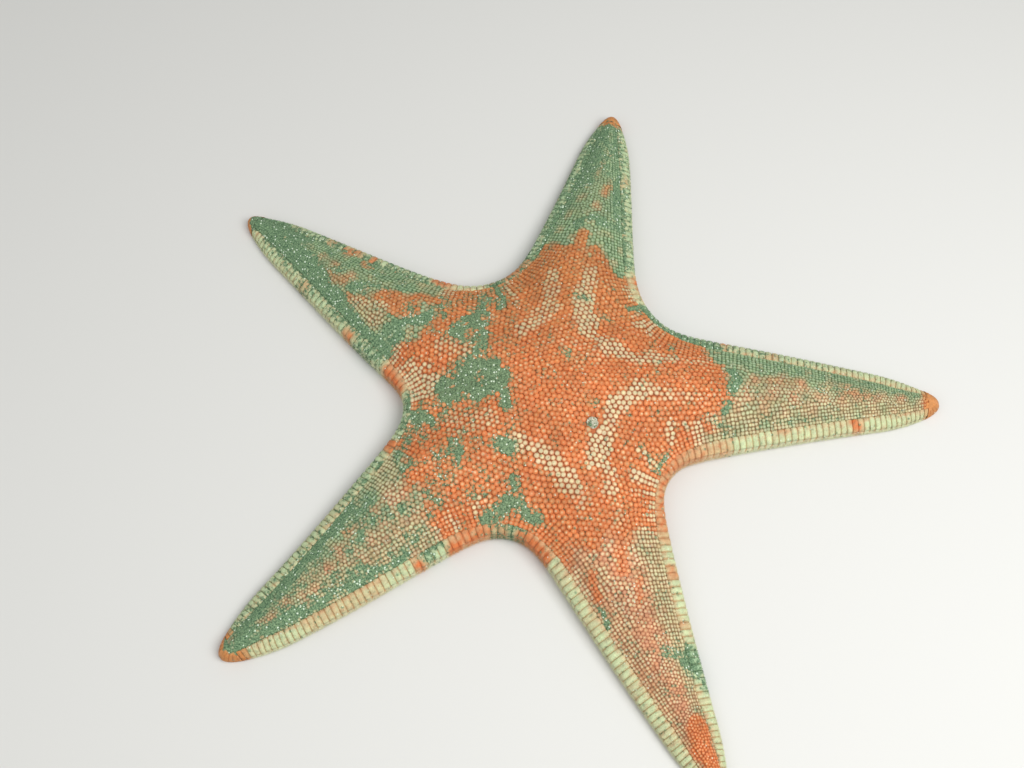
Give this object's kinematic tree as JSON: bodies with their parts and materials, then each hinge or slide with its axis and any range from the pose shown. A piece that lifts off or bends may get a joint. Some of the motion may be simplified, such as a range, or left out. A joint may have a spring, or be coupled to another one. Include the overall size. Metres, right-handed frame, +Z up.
{
  "type": "paxillate sea star",
  "caption": "Life-size still model of an orange and cream paxillate sea star resting on its oral side, with marginal plates, tube feet, jaws and madreporite.",
  "frame": {"origin": "middle of the bounding box, on the surface the sea star rests on. The mouth lies about 14 mm to -X and 3 mm to +Y of it", "axes": "+Z up, from the oral side to the aboral side. Arm b points along +X, and the other arms follow counter-clockwise from above in the order a, e, d, c"},
  "size_m": [0.273, 0.2804, 0.024],
  "materials": {
    "body_wall": "matt, covered with small rounded paxillae, orange marked with cream",
    "upper_plates": "matt, granular cream marginal plates with orange seams",
    "lower_plates": "matt, granular pale cream marginal plates fringed with spinelets",
    "terminal_plates": "matt, granular deep orange",
    "tube_feet": "smooth, moist, pale yellow-orange",
    "jaws": "matt pale cream with short spines",
    "madreporite": "matt, finely grooved, greyish white"
  },
  "bodies": {
    "root": {"disc": "body_wall", "arm_a": "body_wall", "arm_b": "body_wall", "arm_c": "body_wall", "arm_d": "body_wall", "arm_e": "body_wall", "superomarginals_a_left": "upper_plates", "inferomarginals_a_left": "lower_plates", "superomarginals_a_right": "upper_plates", "inferomarginals_a_right": "lower_plates", "superomarginals_b_left": "upper_plates", "inferomarginals_b_left": "lower_plates", "superomarginals_b_right": "upper_plates", "inferomarginals_b_right": "lower_plates", "superomarginals_c_left": "upper_plates", "inferomarginals_c_left": "lower_plates", "superomarginals_c_right": "upper_plates", "inferomarginals_c_right": "lower_plates", "superomarginals_d_left": "upper_plates", "inferomarginals_d_left": "lower_plates", "superomarginals_d_right": "upper_plates", "inferomarginals_d_right": "lower_plates", "superomarginals_e_left": "upper_plates", "inferomarginals_e_left": "lower_plates", "superomarginals_e_right": "upper_plates", "inferomarginals_e_right": "lower_plates", "terminal_plate_a": "terminal_plates", "terminal_plate_b": "terminal_plates", "terminal_plate_c": "terminal_plates", "terminal_plate_d": "terminal_plates", "terminal_plate_e": "terminal_plates", "tube_feet_a": "tube_feet", "tube_feet_b": "tube_feet", "tube_feet_c": "tube_feet", "tube_feet_d": "tube_feet", "tube_feet_e": "tube_feet", "mouth": "jaws", "madreporite": "madreporite"}
  },
  "joints": []
}
